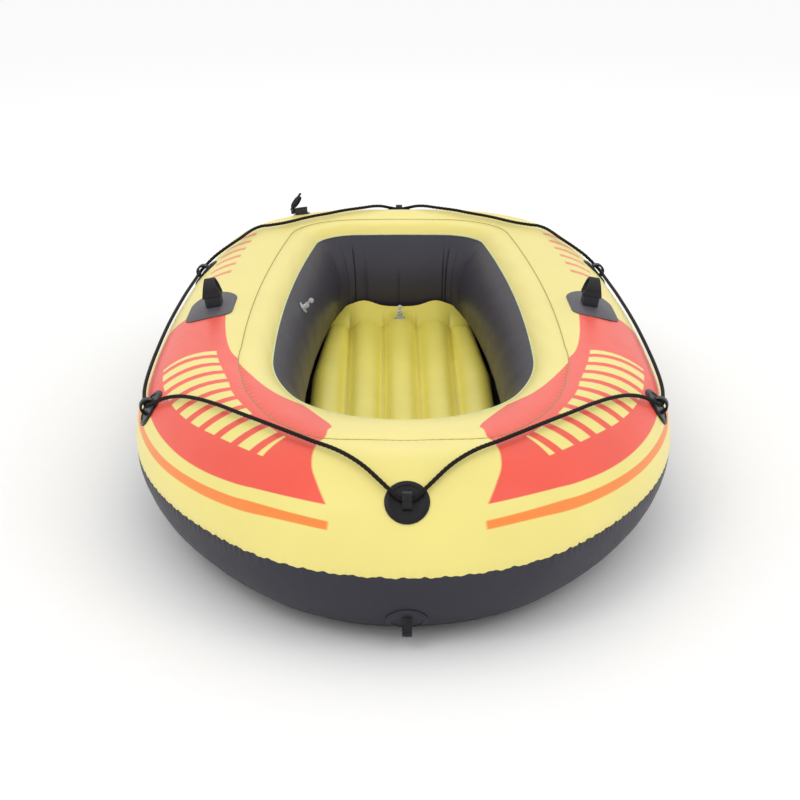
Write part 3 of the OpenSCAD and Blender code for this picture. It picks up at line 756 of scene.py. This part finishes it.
def bead(name, line, radius, sides=8):
    """Thin closed weld bead along a closed line of points."""
    rings = []
    count = len(line)
    for k, spot in enumerate(line):
        along = (line[(k + 1) % count] - line[k - 1]).normalized()
        across = along.cross(Vector((0, 0, 1))).normalized()
        up = across.cross(along)
        ring = []
        for j in range(sides):
            a = 2 * pi * j / sides
            ring.append(spot + radius * (across * cos(a) + up * sin(a)))
        rings.append(ring)
    piece = loft(name, rings, True, True)
    recalculate(piece)
    smooth(piece, 80)
    return piece


def recalculate(piece):
    only(piece)
    bpy.ops.object.mode_set(mode="EDIT")
    bpy.ops.mesh.select_all(action="SELECT")
    bpy.ops.mesh.normals_make_consistent(inside=False)
    bpy.ops.object.mode_set(mode="OBJECT")


class BOAT_OT_weld_beads(bpy.types.Operator):
    """Makes the thin weld beads along the crease and the cockpit rim"""
    bl_idname = "boat.weld_beads"
    bl_label = "Weld Beads"

    def execute(self, context):
        count = 1000
        crease, rim = [], []
        for k in range(count):
            turn = OUTER.turn_at(2 * OUTER.half * k / count)
            crease.append(hull_point(turn, crease_phi(turn) + 0.1, 0.1 * MM))
            turn = INNER.turn_at(2 * INNER.half * k / count)
            x, y = INNER.point(turn, -RIM_IN - 0.6 * MM)
            rim.append(Vector((x, y, RIM_Z + 0.2 * MM)))
        c = colours()
        # Painted shade: the crease bead is darkened to olive. This is partly the weld's own line and partly
        # painted shade of the groove where the two chambers meet.
        crease_shade_olive = tuple(v * s for v, s in zip(c.yellow, (0.42, 0.42, 0.5)))
        give(bead("crease_weld", crease, 0.8 * MM), moulding("crease_weld_shade_film", crease_shade_olive, 0.4))
        give(bead("rim_weld", rim, 1.5 * MM), moulding("rim_weld_film", tuple(c.pale_weld), 0.35))
        return {"FINISHED"}


# ---- floor mat ----
MAT_TUBES = 5
MAT_PITCH = 75 * MM
MAT_R = MAT_PITCH / 2 - 0.2 * MM
MAT_END_R = 24 * MM
MAT_MID_Z = SHEET_TOP + GAP + MAT_R
MAT_STERN_Y = 612 * MM
MAT_BOW_Y = MAT_STERN_Y - 1080 * MM
MAT_BOW_TRIM = [0, 12 * MM, 120 * MM]
MAT_TAPER_Y = 200 * MM
MAT_FILM = 1.6 * MM
MAT_THIN_OUT = [64 * MM, 90 * MM]  # length over which the middle and the other tubes flatten at the stern


def mat_tube(i, y):
    """Middle and half-width of mat tube i at a place along the boat."""
    if abs(i) < 2:
        return i * MAT_PITCH, MAT_R
    share = min(1.0, max(0.0, (y - MAT_TAPER_Y) / (MAT_STERN_Y - MAT_TAPER_Y)))
    half = MAT_R + (MAT_END_R - MAT_R) * share
    side = 1 if i > 0 else -1
    return side * (2 * MAT_PITCH - MAT_R + half), half


def lip_rise(x):
    """How far the mat's free end stands above its middle: two soft crests beside a low centre."""
    crest = 14 * np.exp(-((abs(x) - 82 * MM) / (32 * MM)) ** 2)
    return (47 + crest - 12 * max(0, (abs(x) - 115 * MM) / (45 * MM))) * MM


def mat_ring(y, steps):
    """Cross-section of the mat: over the top from port to starboard, then back under it."""
    over, under = [], []
    for i in range(-2, 3):
        middle, half = mat_tube(i, y)
        bow = MAT_BOW_Y + MAT_BOW_TRIM[abs(i)]
        nose = min(1.0, max(0.0, (y - bow) / (45 * MM)))
        thin_out = MAT_THIN_OUT[min(1, abs(i))]
        tail = min(1.0, max(0.0, (MAT_STERN_Y - y) / thin_out))
        full = sqrt(max(0.0, 1 - (1 - nose) ** 2)) * sin(pi / 2 * tail) ** 1.2
        bend = max(0.0, (y - (MAT_STERN_Y - 48 * MM)) / (52 * MM)) ** 1.5
        for j in range(steps):
            share = -1 + 2 * (j + 0.5) / steps
            hump = max(0.0, 1 - abs(share) ** 2.3) ** 0.46
            wrinkle = 0.6 * MM * wave_noise(y * 60 + i * 3, 8) * (abs(share) > 0.6) * full
            x = middle + half * share
            lift = bend * lip_rise(x)
            thick = MAT_FILM / 2
            over.append(Vector((x, y, MAT_MID_Z + lift + thick + (half - thick) * hump * full + wrinkle)))
            under.append(Vector((x, y, MAT_MID_Z + lift - thick - (half - thick) * hump * full)))
    return over, under


class BOAT_OT_floor_mat(bpy.types.Operator):
    """Makes the inflated floor mat: five tubes between weld lines, with a wavy end against the stern"""
    bl_idname = "boat.floor_mat"
    bl_label = "Floor Mat"

    def execute(self, context):
        steps = 14
        ys = list(np.linspace(MAT_BOW_Y, MAT_BOW_Y + 60 * MM, 22))
        ys += list(np.linspace(MAT_BOW_Y + 70 * MM, MAT_STERN_Y - 130 * MM, 110))
        ys += list(np.linspace(MAT_STERN_Y - 124 * MM, MAT_STERN_Y + 4 * MM, 44))
        over, under = zip(*[mat_ring(y, steps) for y in ys])
        rings = [o + list(reversed(u)) for o, u in zip(over, under)]
        mat = loft("floor_mat_skin", rings, False, True)
        across = [-1 + 2 * (j + 0.5) / steps for j in range(steps)] * MAT_TUBES
        places = [(abs(share), y) for y in ys for share in across + across[::-1]]
        set_uv(mat, "skin", places)
        width = len(rings[0])
        last = (len(rings) - 1) * width
        half = width // 2
        extra = []
        for j in range(half - 1):
            extra.append((j, j + 1, width - 2 - j, width - 1 - j))
            extra.append((last + j, last + width - 1 - j, last + width - 2 - j, last + j + 1))
        build = bmesh.new()
        build.from_mesh(mat.data)
        build.verts.ensure_lookup_table()
        for quad in extra:
            build.faces.new([build.verts[i] for i in quad])
        build.to_mesh(mat.data)
        build.free()
        recalculate(mat)
        smooth(mat, 75)
        shade = Shade("mat_film")
        tone = shade.noise(7, 3)
        c = tuple(colours().mat)
        normal = film_normal(shade)
        creases = shade.noise(34, 4, 0.6)
        normal = shade.bump(creases, 0.0016, 0.25, normal)
        place = shade.node("ShaderNodeSeparateXYZ", {}, [shade.node("ShaderNodeUVMap", {"uv_map": "skin"})])
        # Painted shade: the tube sides next to each weld are darkened towards olive. This is partly the thin
        # dark weld line and partly painted shade in the grooves between the tubes. The stern lip is left out.
        painted_groove_shade = place.above(0.93, 0.06) * (1 - Value(shade, place.socket.node.outputs[1])
                                            .above(MAT_STERN_Y - 14 * MM, 0.02))
        colour = shade.mix(tone, [v * 0.88 for v in c], [v * 1.1 for v in c])
        # Mixes in the painted groove shade.
        colour = shade.mix(painted_groove_shade * 0.6, colour, (0.26, 0.22, 0.035))
        film = shade.finish(colour, shade.noise(60, 2) * 0.1 + 0.3, normal, Specular_IOR_Level=0.35)
        give(mat, film, stands_for=("floor_mat_top", "floor_mat_base"))
        return {"FINISHED"}


# ---- grab rope ----
ROPE_CLEAR = 8.4 * MM
ROPE_IN_LOOP = 9.2 * MM
HOLDER_TURNS = (0, 84, 102, 180)
ROPE_HALF = [
    (0, 58), (0.5, 63), (1, 72), (1.5, 81), (2, 88), (12, 96), (24, 100), (36, 101), (48, 101),
    (60, 100), (70, 97), (76, 93), (80, 88), (81.4, 82), (82.2, 76), (82.9, 69), (83.3, 61),
    (83.5, 53), (83.65, 47), (83.83, 42.5), (84, 41), (84.6, 40), (86, 39), (88, 38), (90, 37), (92.5, 36),
    (96.5, 34), (99.5, 33), (102, 33), (103, 34.5), (104.5, 41), (106.4, 49), (109, 57), (112.5, 64),
    (117, 70), (122, 74), (127.5, 77), (133, 78), (143, 77), (153, 74.5), (160, 70),
    (166.5, 63), (172, 54), (176, 46.5), (178, 43), (180, 42)]


def rope_line(step):
    """Smooth closed centre line of the rope, with a point every step."""
    turns = ROPE_HALF + [(360 - t, phi) for t, phi in reversed(ROPE_HALF[1:-1])]
    knots = []
    for turn, phi in turns:
        fold = min(turn, 360 - turn)
        knots.append(hull_point(turn, phi, ROPE_IN_LOOP if fold in HOLDER_TURNS else ROPE_CLEAR))
    count = len(knots)
    fine = []
    for k in range(count):
        p0, p1, p2, p3 = (knots[(k + d) % count] for d in (-1, 0, 1, 2))
        parts = max(2, ceil((p2 - p1).length / step))
        m1 = (p2 - p0) * (p2 - p1).length / ((p2 - p1).length + (p1 - p0).length)
        m2 = (p3 - p1) * (p2 - p1).length / ((p3 - p2).length + (p2 - p1).length)
        for j in range(parts):
            t = j / parts
            h00, h10 = 2 * t ** 3 - 3 * t ** 2 + 1, t ** 3 - 2 * t ** 2 + t
            h01, h11 = -2 * t ** 3 + 3 * t ** 2, t ** 3 - t ** 2
            fine.append(p1 * h00 + m1 * h10 + p2 * h01 + m2 * h11)
    return fine


class BOAT_OT_grab_rope(bpy.types.Operator):
    """Makes the three-strand grab rope that runs through the six holders"""
    bl_idname = "boat.grab_rope"
    bl_label = "Grab Rope"

    def execute(self, context):
        line = rope_line(2.4 * MM)
        sides, strands = 18, 3
        radius, lay = sizes().rope_d / 2, sizes().rope_lay
        lengths = [0.0]
        for k in range(1, len(line) + 1):
            lengths.append(lengths[-1] + (line[k % len(line)] - line[k - 1]).length)
        lays = round(lengths[-1] / lay)
        rings, places = [], []
        for k, spot in enumerate(line):
            along = (line[(k + 1) % len(line)] - line[k - 1]).normalized()
            across = along.cross(Vector((0, 0, 1))).normalized()
            up = across.cross(along)
            twist = 2 * pi * lays * lengths[k] / lengths[-1]
            ring = []
            for j in range(sides):
                a = 2 * pi * j / sides
                r = radius * (0.72 + 0.28 * abs(cos(strands * (a - twist) / 2)) ** 0.8)
                ring.append(spot + r * (across * cos(a) + up * sin(a)))
                places.append(((a - twist) / (2 * pi), lengths[k]))
            rings.append(ring)
        rope = loft("grab_rope_strands", rings, True, True)
        set_uv(rope, "skin", places)
        recalculate(rope)
        smooth(rope, 80)
        give(rope, rope_yarn(), stands_for=("grab_rope",))
        return {"FINISHED"}


# ---- moulded fittings ----
def rounded_copy(node, name, width, angle=32):
    """Merged copy of a CAD node with rounded edges."""
    source = frame["nodes"][node]
    piece = bpy.data.objects.new(name, source.data.copy())
    bpy.context.scene.collection.objects.link(piece)
    piece.data.materials.clear()
    only(piece)
    bpy.ops.object.mode_set(mode="EDIT")
    bpy.ops.mesh.select_all(action="SELECT")
    bpy.ops.mesh.remove_doubles(threshold=0.00001)
    bpy.ops.mesh.dissolve_limited(angle_limit=radians(2))
    bpy.ops.object.mode_set(mode="OBJECT")
    apply_modifier(piece, "BEVEL", width=width, segments=2, limit_method="ANGLE", angle_limit=radians(angle),
                   use_clamp_overlap=True, harden_normals=False)
    apply_modifier(piece, "TRIANGULATE")
    smooth(piece, 38)
    return piece


def body_of_node(node):
    return body_of(frame["nodes"][node])[0]


def rounded_fitting(node, material, width=None, angle=32):
    piece = rounded_copy(node, node + "_moulded", width or sizes().edge_round, angle)
    return give(piece, material, body_of_node(node), (node,))


HOLDERS = ("holder_bow", "holder_fore_port", "holder_fore_starboard", "holder_aft_port",
           "holder_aft_starboard", "holder_stern")


class BOAT_OT_rope_holders(bpy.types.Operator):
    """Makes the six rope holders and the tow ring with rounded edges"""
    bl_idname = "boat.rope_holders"
    bl_label = "Rope Holders"

    def execute(self, context):
        rubber = moulding("black_moulding", tuple(colours().black), 0.30)
        for node in HOLDERS:
            rounded_fitting(node, rubber)
        ring = rounded_fitting("tow_ring", rubber)
        pad = moulding("tow_pad_film", tuple(colours().navy), 0.42)
        ring.data.materials.append(pad)
        for face in ring.data.polygons:
            spot = face.center
            centre_y = hull_point(180, -43, 0).y + TUBE_R * cos_d(43)
            height = sqrt((spot.y - centre_y) ** 2 + (spot.z - TUBE_R) ** 2) - TUBE_R
            face.material_index = 1 if height < 4.2 * MM else 0
        return {"FINISHED"}


class BOAT_OT_oarlocks(bpy.types.Operator):
    """Makes the oarlock patches, sockets and swivelling rings"""
    bl_idname = "boat.oarlocks"
    bl_label = "Oarlocks"

    def execute(self, context):
        black = bpy.data.materials["black_moulding"]
        grey = moulding("grey_patch", tuple(colours().grey), 0.42, 0.0003)
        for side in ("port", "starboard"):
            rounded_fitting("oarlock_patch_" + side, grey, 0.5 * MM)
            rounded_fitting("oarlock_socket_" + side, black, 1.2 * MM)
            rounded_fitting("oarlock_ring_" + side, black, 1.2 * MM)
        return {"FINISHED"}


class BOAT_OT_valves(bpy.types.Operator):
    """Makes the main valve and the two small clear valves"""
    bl_idname = "boat.valves"
    bl_label = "Valves"

    def execute(self, context):
        black = bpy.data.materials["black_moulding"]
        for node in ("valve_flange", "valve_plug", "valve_cap"):
            rounded_fitting(node, black, 0.35 * MM)
        grey = moulding("seal_rubber", tuple(colours().grey), 0.55)
        clear = clear_plastic()
        rounded_fitting("valve_gasket", grey, 0.2 * MM)
        rounded_fitting("valve_diaphragm", clear, 0.2 * MM)
        for node in ("floor_valve_stem", "floor_valve_plug", "chamber_valve_stem", "chamber_valve_plug"):
            rounded_fitting(node, clear, 0.25 * MM)
        rounded_fitting("valve_hinge_pin", pin_steel(), 0.2 * MM)
        return {"FINISHED"}


class BOAT_OT_inner_sheets(bpy.types.Operator):
    """Shades the flat bottom sheet and the web between the two chambers"""
    bl_idname = "boat.inner_sheets"
    bl_label = "Inner Sheets"

    def execute(self, context):
        film = sheet_film("bottom_film", tuple(colours().navy), 0.45)
        for node in ("bottom_sheet", "divider_web"):
            shown = frame["nodes"][node]
            shown.data.materials.clear()
            shown.data.materials.append(film)
        return {"FINISHED"}


# ---- stage ----
CAMERA_AIM = Vector((-4.1, -3.3, 100)) * MM
CAMERA_FAR = 3.766
CAMERA_LENS = 85.5
CAMERA_PITCH = 19.29
CAMERA_YAW = -0.43
LAMPS = [("key", (-1.8, -2.6, 3.4), 1.4, 14), ("fill", (2.4, -1.8, 2.6), 1.4, 8),
         ("back", (0.2, 3.2, 3.0), 1.6, 8)]


class BOAT_OT_stage(bpy.types.Operator):
    """Sets the camera, the pale floor and the soft studio light"""
    bl_idname = "boat.stage"
    bl_label = "Stage"

    def execute(self, context):
        scene = context.scene
        scene.view_settings.view_transform = "Standard"
        camera = bpy.data.objects.new("camera", bpy.data.cameras.new("camera"))
        scene.collection.objects.link(camera)
        camera.data.lens = CAMERA_LENS
        camera.data.sensor_width = 36
        camera.data.clip_end = 200
        level = Vector((0, cos_d(CAMERA_PITCH), -sin_d(CAMERA_PITCH)))
        look = Matrix.Rotation(radians(CAMERA_YAW), 3, "Z") @ level
        camera.location = CAMERA_AIM - look * CAMERA_FAR
        camera.rotation_euler = (radians(90 - CAMERA_PITCH), 0, radians(CAMERA_YAW))
        scene.camera = camera
        bpy.ops.object.select_all(action="DESELECT")
        bpy.ops.mesh.primitive_plane_add(size=120, location=(0, 0, 0))
        floor = context.active_object
        floor.name = "floor"
        shade = Shade("floor_paper")
        grain = shade.noise(40, 2)
        paper = shade.mix(grain, (0.97, 0.97, 0.97), (0.99, 0.99, 0.99))
        floor.data.materials.append(shade.finish(paper, 0.9, Specular_IOR_Level=0.0))
        world = bpy.data.worlds.new("studio")
        world.use_nodes = True
        world.node_tree.nodes["Background"].inputs["Color"].default_value = (1, 1, 1, 1)
        world.node_tree.nodes["Background"].inputs["Strength"].default_value = 0.97
        scene.world = world
        for name, place, size, power in LAMPS:
            lamp = bpy.data.objects.new(name, bpy.data.lights.new(name, "AREA"))
            lamp.data.size = size
            lamp.data.energy = power
            lamp.location = place
            lamp.rotation_euler = (Vector((0, 0, 0.1)) - Vector(place)).to_track_quat("-Z", "Y").to_euler()
            scene.collection.objects.link(lamp)
        return {"FINISHED"}


class BOAT_PT_parts(bpy.types.Panel):
    """Lists the boat's modelling steps"""
    bl_idname = "BOAT_PT_parts"
    bl_label = "Inflatable Boat"
    bl_space_type = "VIEW_3D"
    bl_region_type = "UI"
    bl_category = "Boat"

    def draw(self, context):
        for group in (context.scene.boat_sizes, context.scene.boat_colours):
            for key in group.bl_rna.properties.keys():
                if key not in ("rna_type", "name"):
                    self.layout.prop(group, key)
        for step in STEPS:
            self.layout.operator(step.bl_idname)


STEPS = (BOAT_OT_stage, BOAT_OT_grab_rope, BOAT_OT_outer_skins, BOAT_OT_deck_skin, BOAT_OT_cockpit_wall,
         BOAT_OT_weld_beads, BOAT_OT_floor_mat, BOAT_OT_rope_holders, BOAT_OT_oarlocks, BOAT_OT_valves,
         BOAT_OT_inner_sheets)
CLASSES = (BoatSizes, BoatColours, *STEPS, BOAT_PT_parts)


def register():
    for item in CLASSES:
        bpy.utils.register_class(item)
    bpy.types.Scene.boat_sizes = bpy.props.PointerProperty(type=BoatSizes)
    bpy.types.Scene.boat_colours = bpy.props.PointerProperty(type=BoatColours)


def unregister():
    del bpy.types.Scene.boat_sizes
    del bpy.types.Scene.boat_colours
    for item in reversed(CLASSES):
        bpy.utils.unregister_class(item)


def main():
    register()
    for step in STEPS:
        group, action = step.bl_idname.split(".")
        getattr(getattr(bpy.ops, group), action)()


if __name__ == "__main__":
    main()
